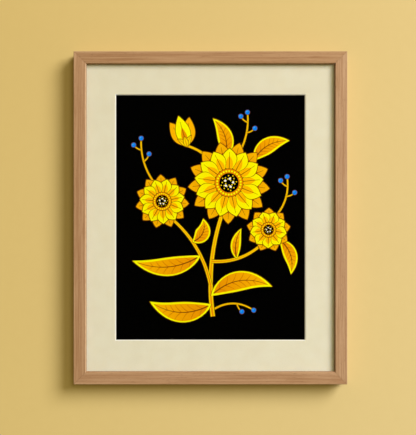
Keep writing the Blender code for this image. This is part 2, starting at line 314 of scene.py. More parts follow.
class Grain(Enum):
    """The direction in which a rail's grain runs."""

    LEVEL = "level"
    UPRIGHT = "upright"


@dataclass(frozen=True)
class Hardwood:
    """Oiled, fine-grained pinkish-tan hardwood, paler where its outer arrises show wear, with a painted
    highlight and painted shade on the sight edge.
    """

    name: str
    grain: Grain
    shift: Triple
    arrises: Point
    front: float
    tone: Colour
    painted_sight_highlight: float
    painted_chamfer_shade: float
    outer_rub: float = 0.32
    painted_lip_shade: float = 0.5
    pale: Colour = linear(198, 161, 123)
    deep: Colour = linear(163, 122, 84)
    middle: Colour = linear(184, 144, 105)
    pore: Colour = linear(107, 74, 46)
    wear_and_highlight: Colour = linear(217, 190, 155)

    def stretch(self, across: float, along: float) -> Triple:
        """Pattern units in a metre across and along the grain, as X, Y and Z."""
        if self.grain is Grain.LEVEL:
            return (along, across, across)
        return (across, across, along)

    def toned(self, colour: Colour) -> Colour:
        """A colour of the wood in this rail's tone, which partly evens out the lamp's falloff as painted
        light.
        """
        return tuple(channel * share for channel, share in zip(colour, self.tone))

    def wear(self, g: Graph) -> tuple[Socket, Socket]:
        """The wear on the outer arris and the painted highlight on the sight edge, in patches, and the
        painted shade on the sight edge.

        Args:
            g: The material's graph.

        Returns:
            The wear with the painted highlight, and the painted shade, from 0 to 1.
        """
        where = g.axes(g.place())
        across = where["Z" if self.grain is Grain.LEVEL else "X"]
        gaps = [g.sums("SUBTRACT", across, edge) for edge in self.arrises]
        outer, inner = [g.sums("ABSOLUTE", gap) for gap in gaps]
        foot = self.front + SIGHT_DROP
        # Painted highlight along the sight edge, strongest on the left rail, whose sight edge faces the
        # lamp.
        sight = g.spread(inner, SIGHT_CHAMFER + 0.5 * MM, SIGHT_CHAMFER - 0.1 * MM, 0.0, self.painted_sight_highlight)
        # Real wear on the outer arris, joined with the painted highlight on the sight edge.
        edges = g.sums("MAXIMUM", g.spread(outer, 1.5 * MM, 0.5 * MM, 0.0, self.outer_rub), sight)
        near = g.spread(where["Y"], foot + 0.6 * MM, foot - 0.6 * MM)
        patches = g.spread(g.noise(g.place(130.0)), 0.3, 0.6, 0.6, 1.0)
        wear_and_highlight = g.sums("MULTIPLY", g.sums("MULTIPLY", edges, near), patches)
        # Painted shade on the sight edge's chamfer.
        chamfer = g.spread(inner, SIGHT_CHAMFER + 0.2 * MM, SIGHT_CHAMFER - 0.2 * MM, 0.0, self.painted_chamfer_shade)
        # Painted shade on the lip's inner side, below the chamfer.
        side = g.spread(inner, 0.5 * MM, 0.1 * MM, 0.0, self.painted_lip_shade)
        under = g.spread(where["Y"], foot - 0.6 * MM, foot + 0.2 * MM)
        return wear_and_highlight, g.sums("MAXIMUM", g.sums("MULTIPLY", side, under), chamfer)

    def material(self) -> Material:
        """Builds the finish.

        Returns:
            The material.
        """
        g = Graph(self.name)
        bands = g.noise(g.place(self.stretch(430.0, 6.5), self.shift))
        broad = g.noise(g.place(self.stretch(70.0, 6.0), self.shift))
        streaks = g.noise(g.place(self.stretch(740.0, 26.0), self.shift))
        fibre = g.noise(g.place(self.stretch(2600.0, 90.0), self.shift), 3.0, 0.6)
        pores = g.noise(g.place(self.stretch(1500.0, 150.0), self.shift), 1.0)
        pale, deep = self.toned(self.pale), self.toned(self.deep)
        colour = g.blend(g.spread(bands, 0.34, 0.68), pale, deep)
        colour = g.blend(g.spread(broad, 0.3, 0.7, 0.05, 0.45), colour, self.toned(self.middle))
        colour = g.blend(g.spread(streaks, 0.52, 0.74, 0.0, 0.75), colour, deep)
        colour = g.blend(g.spread(streaks, 0.46, 0.26, 0.0, 0.60), colour, pale)
        fleck = g.spread(pores, 0.64, 0.76)
        colour = g.blend(g.spread(fibre, 0.3, 0.7, 0.0, 0.30), colour, deep)
        colour = g.blend(g.sums("MULTIPLY", fleck, 0.45), colour, self.toned(self.pore))
        wear_and_highlight, dark = self.wear(g)
        # Painted shade on the sight edge and the lip's inner side, in the pore colour.
        colour = g.blend(dark, colour, self.toned(self.pore))
        # Paler for wear on the outer arris and as a painted highlight on the sight edge.
        g.colour(g.blend(wear_and_highlight, colour, self.toned(self.wear_and_highlight)))
        dry = g.spread(fibre, 0.25, 0.75, 0.60, 0.74)
        g.roughness(g.sums("ADD", dry, g.sums("MULTIPLY", wear_and_highlight, 0.15)))
        height = g.sums("SUBTRACT", g.spread(fibre, 0.2, 0.8, 0.4, 1.0), g.sums("MULTIPLY", fleck, 0.4))
        g.relief(height, 0.07 * MM, 0.5)
        g.set(Specular_IOR_Level=0.12)
        return g.material


@dataclass(frozen=True)
class MatBoard:
    """Cream paper-faced board, painted darker and yellower towards its top as painted shade that evens
    out the lamp's falloff; its cut bevel shows a whiter core.
    """

    foot_z: float
    head_z: float
    name: str = "mat_board"
    # Face colours at the top and the foot: the top's is darker, as painted shade.
    head: Colour = linear(231, 227, 210)
    foot: Colour = linear(238, 235, 221)
    shade: Colour = (0.95, 0.93, 0.90)
    core: Colour = linear(253, 251, 245)
    glow: Colour = (1.2, 1.1, 0.9)

    def material(self) -> Material:
        """Builds the finish.

        Returns:
            The material.
        """
        g = Graph(self.name)
        cloud = g.noise(g.place(45.0), 3.0)
        tooth = g.noise(g.place(1700.0), 3.0, 0.6)
        fibre = g.noise(g.place((420.0, 900.0, 2600.0), (3.0, 1.0, 7.0)))
        # Painted shade: the face turns darker and yellower towards the top, evening out the lamp's
        # falloff.
        painted_shade_rise = g.spread(g.axes(g.place())["Z"], self.foot_z, self.head_z)
        colour = g.blend(painted_shade_rise, self.foot, self.head)
        colour = g.blend(g.spread(cloud, 0.3, 0.7, 0.0, 0.6), colour, self.shade, "MULTIPLY")
        colour = g.blend(g.spread(fibre, 0.62, 0.74, 0.0, 0.30), colour, self.shade, "MULTIPLY")
        turn = g.axes(g.node("NewGeometry").outputs["Normal"])
        cut = g.spread(g.sums("ABSOLUTE", turn["Y"]), 0.95, 0.80)
        g.colour(g.blend(cut, colour, self.core))
        g.roughness(g.spread(tooth, 0.3, 0.7, 0.82, 0.96))
        g.relief(tooth, 0.06 * MM, 0.45)
        g.shader.inputs["Subsurface Radius"].default_value = self.glow
        g.set(Specular_IOR_Level=0.2, Subsurface_Weight=0.6, Subsurface_Scale=MM)
        return g.material


@dataclass(frozen=True)
class PrintedPaper:
    """Matt paper whose colours come from the printed shapes."""

    name: str = "printed_paper"

    def material(self) -> Material:
        """Builds the finish.

        Returns:
            The material.
        """
        g = Graph(self.name)
        ink = g.node("Attribute", attribute_name=INK_LAYER)
        wash = g.noise(g.place(260.0), 3.0)
        tooth = g.noise(g.place(2400.0))
        level = g.spread(wash, 0.3, 0.7, 0.955, 1.0)
        g.colour(g.blend(1.0, ink.outputs["Color"], level, "MULTIPLY"))
        g.roughness(g.spread(tooth, 0.3, 0.7, 0.70, 0.86))
        g.relief(tooth, 0.03 * MM, 0.3)
        g.set(Specular_IOR_Level=0.01)
        return g.material


@dataclass(frozen=True)
class ClearGlass:
    """Low-reflection picture glass that lets the lamps through."""

    name: str = "picture_glass"
    tint: Colour = (0.992, 0.998, 0.994)

    def material(self) -> Material:
        """Builds the finish.

        Returns:
            The material.
        """
        g = Graph(self.name)
        g.shader.inputs["Base Color"].default_value = (*self.tint, 1.0)
        g.set(Roughness=0.0, IOR=1.08, Transmission_Weight=1.0)
        ray = g.node("LightPath").outputs
        passes = g.sums("MAXIMUM", ray["Is Shadow Ray"], ray["Is Diffuse Ray"])
        g.see_through(g.sums("MAXIMUM", passes, ray["Is Glossy Ray"]))
        return g.material


@dataclass(frozen=True)
class Board:
    """Pressed board or card, with fine flecks."""

    name: str
    face: Colour
    fleck: Colour
    coarse: float = 900.0
    flecks: float = 0.5
    rough: float = 0.8

    def material(self) -> Material:
        """Builds the finish.

        Returns:
            The material.
        """
        g = Graph(self.name)
        cloud = g.noise(g.place(18.0), 4.0, 0.6)
        chips = g.noise(g.place((self.coarse, self.coarse, self.coarse * 0.45)), 3.0, 0.65)
        hairs = g.noise(g.place((self.coarse * 0.3, self.coarse, self.coarse * 1.6)))
        colour = g.blend(g.spread(cloud, 0.25, 0.75, 0.0, 0.35), self.face, self.fleck)
        colour = g.blend(g.spread(chips, 0.45, 0.75, 0.0, self.flecks), colour, self.fleck)
        colour = g.blend(g.spread(hairs, 0.62, 0.72, 0.0, self.flecks * 0.7), colour, self.fleck)
        g.colour(colour)
        g.roughness(g.spread(chips, 0.3, 0.7, self.rough - 0.1, self.rough + 0.08))
        g.relief(chips, 0.08 * MM, 0.4)
        g.set(Specular_IOR_Level=0.3)
        return g.material


@dataclass(frozen=True)
class PlatedSteel:
    """Zinc-plated sheet steel with rolling marks and light tarnish."""

    name: str
    bright: Colour = (0.66, 0.67, 0.69)
    dull: Colour = (0.42, 0.42, 0.43)
    rough: float = 0.34

    def material(self) -> Material:
        """Builds the finish.

        Returns:
            The material.
        """
        g = Graph(self.name)
        spangle = g.noise(g.place(420.0))
        rolled = g.noise(g.place((160.0, 5200.0, 5200.0)), 3.0, 0.6)
        colour = g.blend(g.spread(spangle, 0.35, 0.7, 0.0, 0.55), self.bright, self.dull)
        g.colour(g.blend(g.spread(rolled, 0.55, 0.75, 0.0, 0.35), colour, self.dull))
        g.roughness(g.spread(spangle, 0.3, 0.7, self.rough - 0.08, self.rough + 0.14))
        g.relief(rolled, 0.02 * MM, 0.35)
        g.set(Metallic=1.0)
        return g.material


@dataclass(frozen=True)
class BumperRubber:
    """Soft dark-grey rubber with a dusty bloom."""

    name: str = "bumper_rubber"
    face: Colour = (0.045, 0.045, 0.048)
    bloom: Colour = (0.105, 0.102, 0.098)

    def material(self) -> Material:
        """Builds the finish.

        Returns:
            The material.
        """
        g = Graph(self.name)
        dust = g.noise(g.place(700.0), 4.0, 0.65)
        pitted = g.noise(g.place(4200.0))
        g.colour(g.blend(g.spread(dust, 0.45, 0.75, 0.0, 0.8), self.face, self.bloom))
        g.roughness(g.spread(dust, 0.3, 0.7, 0.62, 0.82))
        g.relief(pitted, 0.03 * MM, 0.4)
        g.set(Specular_IOR_Level=0.4)
        return g.material


class Ink(Enum):
    """The printing inks, in linear light."""

    BLACK = (0.0, 0.0, 0.0)
    YELLOW = linear(255, 255, 0)
    GOLD = linear(255, 220, 0)
    AMBER = linear(255, 188, 0)
    ORANGE = linear(236, 146, 0)
    RUST = linear(206, 110, 0)
    LINE = linear(112, 58, 6)
    BLUE = linear(0, 126, 255)
    SKY = linear(60, 172, 255)
    WHITE = linear(255, 255, 255)

    def at(self, point: Point) -> Colour:
        """The same colour at every point."""
        return self.value


class Run(Enum):
    """How a printed colour runs over a shape."""

    ALONG = "along"
    AROUND = "around"


@dataclass(frozen=True)
class Tint:
    """A run from one ink to another."""

    first: Ink
    second: Ink
    run: Run
    start: Point
    end: Point

    def at(self, point: Point) -> Colour:
        """Works out the colour at a point of the sheet.

        Args:
            point: The place, in millimetres from the window's middle.

        Returns:
            The linear colour there.
        """
        start, end, here = Vector(self.start), Vector(self.end), Vector(point)
        reach = end - start
        if self.run is Run.ALONG:
            share = (here - start).dot(reach) / reach.length_squared
        else:
            share = (here - start).length / reach.length
        share = min(max(share, 0.0), 1.0)
        return tuple(a + (b - a) * share for a, b in zip(self.first.value, self.second.value))


@dataclass(frozen=True)
class Shape:
    """A printed shape: a closed outline and its colour."""

    outline: Outline
    tint: Ink | Tint


def disc(centre: Point, radius: float, steps: int = 40) -> Outline:
    """Points of a circle.

    Args:
        centre: Its middle.
        radius: Its radius.
        steps: How many points.

    Returns:
        The outline.
    """
    return tuple(polar(centre, radius, math.tau * step / steps) for step in range(steps))


def polar(centre: Point, radius: float, turn: float) -> Point:
    """The point at a distance and direction from a centre."""
    return (centre[0] + radius * math.cos(turn), centre[1] + radius * math.sin(turn))


@dataclass(frozen=True)
class Bow:
    """A line from a base to a tip, its middle pulled to the left."""

    base: Point
    tip: Point
    pull: float = 0.0

    def frame(self, share: float) -> tuple[Vector, Vector]:
        """A point on the line and the direction across the line there.

        Args:
            share: How far along, from 0 to 1.

        Returns:
            The point, and the unit vector to the left.
        """
        start, end = Vector(self.base), Vector(self.tip)
        ahead = end - start
        knee = (start + end) / 2 + Vector((-ahead.y, ahead.x)).normalized() * self.pull * 2
        point = start * (1 - share) ** 2 + knee * 2 * share * (1 - share) + end * share**2
        slope = (knee - start) * (1 - share) + (end - knee) * share
        return point, Vector((-slope.y, slope.x)).normalized()

    def at(self, share: float) -> Point:
        """The point a share of the way along."""
        return tuple(self.frame(share)[0])

    def outline(self, halves: list[float]) -> Outline:
        """Goes round the line at a distance.

        Args:
            halves: Half the width at even steps from the base to the tip.

        Returns:
            The outline.
        """
        left, right = [], []
        for step, half in enumerate(halves):
            point, side = self.frame(step / (len(halves) - 1))
            left.append(tuple(point + side * max(half, LEAST_HALF)))
            right.append(tuple(point - side * max(half, LEAST_HALF)))
        return (*right, *reversed(left))

    def ribbon(self, start_width: float, end_width: float, steps: int = 14) -> Outline:
        """Outline of a stem or a drawn line.

        Args:
            start_width: Its width at the base.
            end_width: Its width at the tip.
            steps: Stretches along it.

        Returns:
            The outline.
        """
        change = end_width - start_width
        return self.outline([(start_width + change * step / steps) / 2 for step in range(steps + 1)])

    def blade(self, width: float, fullest: float = 0.45, grow: float = 0.0) -> Outline:
        """Outline of a leaf or petal.

        Args:
            width: Its greatest width.
            fullest: How far along it is widest, from 0 to 1.
            grow: How much bigger it is drawn all round.

        Returns:
            The outline.
        """
        power = math.log(0.5) / math.log(fullest)
        ahead = (Vector(self.tip) - Vector(self.base)).normalized() * grow
        longer = Bow(tuple(Vector(self.base) - ahead), tuple(Vector(self.tip) + ahead * 1.8), self.pull)
        half = width / 2 + grow
        shares = [(step / BLADE_STEPS) ** power for step in range(BLADE_STEPS + 1)]
        return longer.outline([half * math.sin(math.pi * share) ** 0.9 for share in shares])


@dataclass(frozen=True)
class Stem:
    """A drawn stem."""

    run: Bow
    width: float = 5.0
    line: float = 0.8

    def shapes(self) -> list[Shape]:
        """Outline, gold edge and orange middle of the stem."""
        end = self.width * 0.72
        tint = Tint(Ink.ORANGE, Ink.AMBER, Run.ALONG, self.run.base, self.run.tip)
        return [
            Shape(self.run.ribbon(self.width + 2 * self.line, end + 2 * self.line), Ink.LINE),
            Shape(self.run.ribbon(self.width, end), Ink.GOLD),
            Shape(self.run.ribbon(self.width * 0.45, end * 0.4), tint),
        ]


@dataclass(frozen=True)
class Leaf:
    """A drawn leaf with a midrib and side veins."""

    run: Bow
    width: float
    veins: int = 6
    line: float = 0.8

    def shapes(self) -> list[Shape]:
        """Outline, yellow edge, amber blade, veins and midrib."""
        inside = Bow(self.run.at(0.05), self.run.at(0.93), self.run.pull * 0.80)
        tint = Tint(Ink.ORANGE, Ink.AMBER, Run.ALONG, self.run.base, self.run.tip)
        made = [
            Shape(self.run.blade(self.width, grow=self.line), Ink.LINE),
            Shape(self.run.blade(self.width), Ink.YELLOW),
            Shape(inside.blade(self.width - 5.0), tint),
        ]
        for number in range(self.veins):
            for hand in (1, -1):
                made.append(Shape(self.vein(0.14 + 0.68 * number / self.veins, hand), Ink.RUST))
        made.append(Shape(inside.ribbon(1.8, 0.6), Ink.LINE))
        return made

    def vein(self, share: float, hand: int) -> Outline:
        """One side vein.

        Args:
            share: Where it leaves the midrib.
            hand: 1 for the left side, -1 for the right.

        Returns:
            Its outline.
        """
        root, side = self.run.frame(share)
        ahead = Vector((side.y, -side.x))
        reach = (self.width / 2 - 3.6) * math.sin(math.pi * min(share + 0.14, 1.0))
        tip = root + side * hand * reach + ahead * reach * 0.9
        return Bow(tuple(root), tuple(tip), -hand * reach * 0.08).ribbon(1.2, 0.5, steps=5)


@dataclass(frozen=True)
class Bloom:
    """A drawn flower: two rings of petals round a dark heart with seeds."""

    centre: Point
    radius: float
    petals: int
    turn: float
    fullest: float = 0.58
    line: float = 0.8

    @property
    def heart(self) -> float:
        """Radius of the heart."""
        return self.radius * 0.34

    def shapes(self) -> list[Shape]:
        """Back petals, front petals and the heart."""
        made = []
        step = math.tau / self.petals
        rings = ((0.5, 1.0, Ink.RUST, Ink.AMBER, Ink.RUST), (0.0, 0.84, Ink.GOLD, Ink.YELLOW, Ink.AMBER))
        for offset, reach, *inks in rings:
            for number in range(self.petals):
                made += self.petal(self.turn + (number + offset) * step, reach, *inks)
        return made + self.heart_shapes()

    def petal(self, turn: float, reach: float, near: Ink, far: Ink, flame: Ink) -> list[Shape]:
        """One petal.

        Args:
            turn: The direction it points in.
            reach: Its length as a share of the flower's radius.
            near: Its ink at the heart.
            far: Its ink at the tip.
            flame: The ink of the tongue along its middle.

        Returns:
            Outline, petal, tongue and crease.
        """
        base = polar(self.centre, self.heart * 0.7, turn)
        length = self.radius * reach - self.heart
        petal = Bow(base, polar(self.centre, self.radius * reach, turn))
        tongue = Bow(base, polar(self.centre, self.heart + length * 0.64, turn))
        crease = Bow(base, polar(self.centre, self.heart + length * 0.84, turn))
        width = math.tau / self.petals * self.radius * 0.74
        return [
            Shape(petal.blade(width, self.fullest, self.line), Ink.LINE),
            Shape(petal.blade(width, self.fullest), Tint(near, far, Run.AROUND, self.centre, petal.tip)),
            Shape(tongue.blade(width * 0.50, 0.52), flame),
            Shape(crease.ribbon(1.3, 0.5, steps=4), Ink.LINE),
        ]

    def heart_shapes(self) -> list[Shape]:
        """The heart: rings, seeds in spirals and white dots."""
        rim = polar(self.centre, self.heart, 0.0)
        glow = Tint(Ink.RUST, Ink.ORANGE, Run.AROUND, self.centre, rim)
        made = [
            Shape(disc(self.centre, self.heart + self.line), Ink.LINE),
            Shape(disc(self.centre, self.heart), glow),
        ]
        seeds = self.petals * 2
        for number in range(seeds):
            spot = polar(self.centre, self.heart * 0.85, self.turn + math.tau * number / seeds)
            made.append(Shape(disc(spot, self.heart * 0.075, 10), Ink.YELLOW))
        made.append(Shape(disc(self.centre, self.heart * 0.70), Ink.BLACK))
        for number in range(2, seeds):
            away = self.heart * 0.60 * math.sqrt(number / seeds)
            spot = polar(self.centre, away, number * GOLDEN_TURN)
            made.append(Shape(disc(spot, self.heart * 0.050, 8), Ink.GOLD))
        for number in range(5):
            spot = polar(self.centre, self.heart * 0.30, self.turn + math.tau * number / 5)
            made.append(Shape(disc(spot, self.heart * 0.085, 12), Ink.WHITE))
        return made


@dataclass(frozen=True)
class Bud:
    """A drawn closed bud in three petals over three sepals."""

    base: Point
    turn: float
    length: float
    line: float = 0.8

    def shapes(self) -> list[Shape]:
        """The outer petals, the middle petal and the sepals."""
        made = []
        width = self.length * 0.46
        petals = ((0.36, 0.92, Ink.AMBER), (-0.36, 0.92, Ink.AMBER), (0.0, 1.0, Ink.YELLOW))
        for lean, reach, ink in petals:
            petal = Bow(self.base, polar(self.base, self.length * reach, self.turn + lean))
            tongue = Bow(self.base, petal.at(0.62))
            made.append(Shape(petal.blade(width, grow=self.line), Ink.LINE))
            made.append(Shape(petal.blade(width), ink))
            made.append(Shape(tongue.blade(width * 0.4), Ink.ORANGE))
            made.append(Shape(Bow(self.base, petal.at(0.80)).ribbon(1.2, 0.5, steps=4), Ink.LINE))
        root = polar(self.base, -self.length * 0.05, self.turn)
        for lean, reach in ((0.62, 0.40), (-0.62, 0.40), (0.0, 0.36)):
            tip = polar(root, self.length * reach, self.turn + lean)
            sepal = Bow(root, tip, self.length * -0.06 * lean)
            made.append(Shape(sepal.blade(self.length * 0.15, grow=self.line), Ink.LINE))
            made.append(Shape(sepal.blade(self.length * 0.15), Ink.GOLD))
            made.append(Shape(sepal.ribbon(1.2, 0.5, steps=4), Ink.RUST))
        return made


@dataclass(frozen=True)
class Sprig:
    """A thin stalk that ends in blue berries on short twigs."""

    run: Bow
    twigs: tuple[float, ...] = (0.55, 0.78)
    berry: float = 3.7
    twig: float = 15.0

    def shapes(self) -> list[Shape]:
        """The stalk, its twigs and the berries."""
        made = Stem(self.run, 2.8, 0.6).shapes()
        ends = [self.run.tip]
        for number, share in enumerate(self.twigs):
            root, side = self.run.frame(share)
            hand = 1 if number % 2 else -1
            ahead = Vector((side.y, -side.x))
            end = tuple(root + (side * hand + ahead * 0.8).normalized() * self.twig)
            made += Stem(Bow(tuple(root), end, hand * 1.5), 2.0, 0.6).shapes()
            ends.append(end)
        for end in ends:
            made.append(Shape(disc(end, self.berry + 0.7, 24), Ink.LINE))
            made.append(Shape(disc(end, self.berry, 24), Ink.BLUE))
            glint = (end[0] - self.berry * 0.28, end[1] + self.berry * 0.3)
            made.append(Shape(disc(glint, self.berry * 0.34, 12), Ink.SKY))
        return made


Motif = Stem | Leaf | Bloom | Bud | Sprig


@dataclass
class BotanicalPrint:
    """The printed sheet: a spray of flowers, leaves and berries on black, flat in the paper."""

    node: str = "art_print"
    motifs: list[Motif] = field(default_factory=list)

    def __post_init__(self) -> None:
        """Lays out the spray, from the stems at the back to the flowers at the front."""
        stalk = Bow((4.0, -160.0), (28.0, 30.0), 13.0)
        left = Bow(stalk.at(0.26), (-78.0, 10.0), -14.0)
        right = Bow(stalk.at(0.46), (92.0, -34.0), -12.0)
        high = Bow((16.0, 66.0), (-38.0, 116.0), -9.0)
        self.motifs = [
            Sprig(Bow((-86.0, 50.0), (-112.0, 128.0), 8.0)),
            Sprig(Bow((44.0, 100.0), (60.0, 170.0), -6.0)),
            Sprig(Bow((104.0, 0.0), (124.0, 66.0), -8.0)),
            Sprig(Bow(stalk.at(0.05), (70.0, -150.0), 11.0), (0.6,)),
            Stem(stalk, 6.8),
            Stem(left),
            Stem(right, 4.8),
            Stem(high, 4.4),
            Leaf(Bow(stalk.at(0.10), (-98.0, -136.0), 15.0), 33.0),
            Leaf(Bow(stalk.at(0.17), (100.0, -112.0), 17.0), 32.0),
            Leaf(Bow(left.at(0.34), (-126.0, -70.0), 14.0), 30.0),
            Leaf(Bow(left.at(0.52), (-12.0, -2.0), -9.0), 24.0),
            Leaf(Bow(right.at(0.40), (50.0, -18.0), 5.0), 16.0, 4),
            Leaf(Bow((112.0, -36.0), (130.0, -92.0), 9.0), 22.0),
            Leaf(Bow((24.0, 96.0), (4.0, 160.0), -10.0), 25.0),
            Leaf(Bow((70.0, 92.0), (128.0, 124.0), 10.0), 26.0),
            Bud(high.tip, math.radians(106), 50.0),
            Bloom((-78.0, 26.0), 43.0, 11, 0.2),
            Bloom((94.0, -20.0), 35.0, 9, 0.5),
            Bloom((30.0, 56.0), 66.0, 13, 0.1),
        ]

    def shapes(self) -> list[Shape]:
        """Every printed shape, from the back to the front."""
        return [shape for motif in self.motifs for shape in motif.shapes()]

    def build(self) -> Object:
        """Makes the sheet: a slab whose front is parted along the printed outlines.

        Returns:
            The finished piece.
        """
        low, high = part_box(self.node)
        middle = ((low[0] + high[0]) / 2, (low[2] + high[2]) / 2)
        corners = ((low[0], low[2]), (high[0], low[2]), (high[0], high[2]), (low[0], high[2]))
        sheet = tuple(((x - middle[0]) / MM, (z - middle[1]) / MM) for x, z in corners)
        shapes = [Shape(sheet, Ink.BLACK), *self.shapes()]
        points, outlines = [], []
        for shape in shapes:
            first = len(points)
            points += [Vector(point) for point in shape.outline]
            outlines.append(list(range(first, len(points))))
        flat, _, faces, _, _, owners = delaunay_2d_cdt(points, [], outlines, 1, 1e-4)
        LOG.info("print: %d shapes, %d faces", len(shapes), len(faces))
        bm = bmesh.new()
        ink = bm.loops.layers.float_color.new(INK_LAYER)
        places = bm.loops.layers.uv.new(BAKE_MAP)
        front = [bm.verts.new((middle[0] + p.x * MM, low[1], middle[1] + p.y * MM)) for p in flat]
        for corner_ids, owner in zip(faces, owners):
            made = bm.faces.new([front[i] for i in corner_ids])
            tint = shapes[max(owner)].tint
            for loop, i in zip(made.loops, corner_ids):
                loop[ink] = (*tint.at((flat[i].x, flat[i].y)), 1.0)
        self.close(bm, ink, high[1])
        self.lay_out(bm, places, (low, high))
        mesh = bpy.data.meshes.new("art_sheet")
        bm.normal_update()
        bm.to_mesh(mesh)
        bm.free()
        mesh.materials.append(PrintedPaper().material())
        return add_object(mesh)

    @staticmethod
    def close(bm: BMesh, ink: BMLayerItem, back_y: float) -> None:
        """Gives the sheet its edges and plain white back.

        Args:
            bm: The mesh that holds the front.
            ink: The layer of printed colours.
            back_y: Where the back lies.
        """
        rim = [edge for edge in bm.edges if edge.is_boundary]
        made = bmesh.ops.extrude_edge_only(bm, edges=rim)["geom"]
        for vertex in (part for part in made if isinstance(part, BMVert)):
            vertex.co.y = back_y
        bmesh.ops.holes_fill(bm, edges=[edge for edge in bm.edges if edge.is_boundary])
        bmesh.ops.recalc_face_normals(bm, faces=bm.faces)
        for face in bm.faces:
            if face.normal.y > -0.5:
                for loop in face.loops:
                    loop[ink] = (*PAPER_WHITE, 1.0)

    @staticmethod
    def lay_out(bm: BMesh, places: BMLayerItem, box: Box) -> None:
        """Lays the sheet out flat for baking: the front large, the rest beside it.

        Args:
            bm: The mesh of the whole sheet.
            places: The layer of flat places.
            box: The sheet's lowest and highest corners.
        """
        low, high = box
        edges = 0
        for face in bm.faces:
            if face.normal.y < -0.5:
                left, bottom, wide, tall = 0.02, 0.02, 0.75, 0.96
            elif face.normal.y > 0.5:
                left, bottom, wide, tall = 0.80, 0.02, 0.18, 0.24
            else:
                left, bottom, wide, tall = 0.80, 0.34 + 0.12 * edges, 0.18, 0.06
                edges += 1
            for loop in face.loops:
                across, along, up = [(c - a) / (b - a) for c, a, b in zip(loop.vert.co, low, high)]
                if abs(face.normal.y) < 0.5:
                    across = across if abs(face.normal.z) > 0.5 else up
                    up = along
                loop[places].uv = (left + wide * across, bottom + tall * up)


@dataclass
class GlueLines:
    """The four mitres' glue lines, flush with the moulding's face."""

    thickness: float = 0.28 * MM
    shy: float = 0.10 * MM
    face: float = 20.4 * MM
    rebate: float = 15.4 * MM
    lip: float = 6.0 * MM
    arris: float = 1.0 * MM
    arris_steps: int = 4
    depth: float = 19.0 * MM
    tone: Colour = linear(180, 140, 101)
    fleck: Colour = linear(140, 98, 62)

    def profile(self) -> list[Point]:
        """The joint's outline, as distance in from the outer edge and depth behind the face."""
        shy, size = self.shy, self.arris - self.shy
        inner, under, back = self.face - shy, self.lip - shy, self.rebate - shy
        turns = [math.pi / 2 * step / self.arris_steps for step in range(self.arris_steps + 1)]
        points = [polar((self.arris, self.arris), -size, turn) for turn in turns]
        points += [(self.face - SIGHT_CHAMFER - shy, shy), (inner, SIGHT_DROP)]
        return points + [(inner, under), (back, under), (back, self.depth), (shy, self.depth)]

    def build(self, box: Box) -> list[Object]:
        """Makes one thin solid in each corner.

        Args:
            box: The moulding's lowest and highest corners.

        Returns:
            The four pieces.
        """
        low, high = box
        finish = Board("mitre_glue", self.tone, self.fleck, coarse=1500.0, rough=0.55).material()
        made = []
        for side, x, inward in (("left", low[0], 1), ("right", high[0], -1)):
            for end, z, down in (("top", high[2], -1), ("bottom", low[2], 1)):
                mesh = bpy.data.meshes.new(f"mitre_glue_{end}_{side}")
                mesh.from_pydata(*self.solid((x, z), (inward, down), low[1]))
                mesh.materials.append(finish)
                made.append(add_object(mesh))
        return made

    def solid(self, corner: Point, inward: Point, front: float) -> tuple[list[Triple], list, list]:
        """The points and faces of one glue line.

        Args:
            corner: The frame's outer corner.
            inward: The directions in from it.
            front: Where the moulding's face lies.

        Returns:
            Points, no loose edges, and faces.
        """
        half = self.thickness / 2 / math.sqrt(2)
        profile = self.profile()
        count = len(profile)
        points = []
        for offset in (half, -half):
            for across, depth in profile:
                x = corner[0] + inward[0] * (across + offset)
                z = corner[1] + inward[1] * (across - offset)
                points.append((x, front + depth, z))
        faces = [tuple(range(count)), tuple(range(2 * count - 1, count - 1, -1))]
        for number in range(count):
            after = (number + 1) % count
            faces.append((after, number, number + count, after + count))
        if inward[0] * inward[1] > 0:
            faces = [tuple(reversed(face)) for face in faces]
        return points, [], faces


@dataclass(frozen=True)
class Rail:
    """A rail's own grain and tone, and how strong the painted highlight and painted shade on its sight
    edge are.
    """

    node: str
    grain: Grain
    shift: Triple
    tone: Colour
    # How strong the painted highlight and painted shade on the sight edge are.
    painted_sight_highlight: float = 0.0
    painted_chamfer_shade: float = 0.0

    def material(self) -> Material:
        """Builds the rail's finish.

        Returns:
            The material.
        """
        low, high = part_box(self.node)
        axis = 2 if self.grain is Grain.LEVEL else 0
        arrises = (low[axis], high[axis])
        if self.node in ("rail_top", "rail_right"):
            arrises = (high[axis], low[axis])
        name = self.node + "_hardwood"
        finish = Hardwood(name, self.grain, self.shift, arrises, low[1], self.tone, self.painted_sight_highlight, self.painted_chamfer_shade)
        return finish.material()


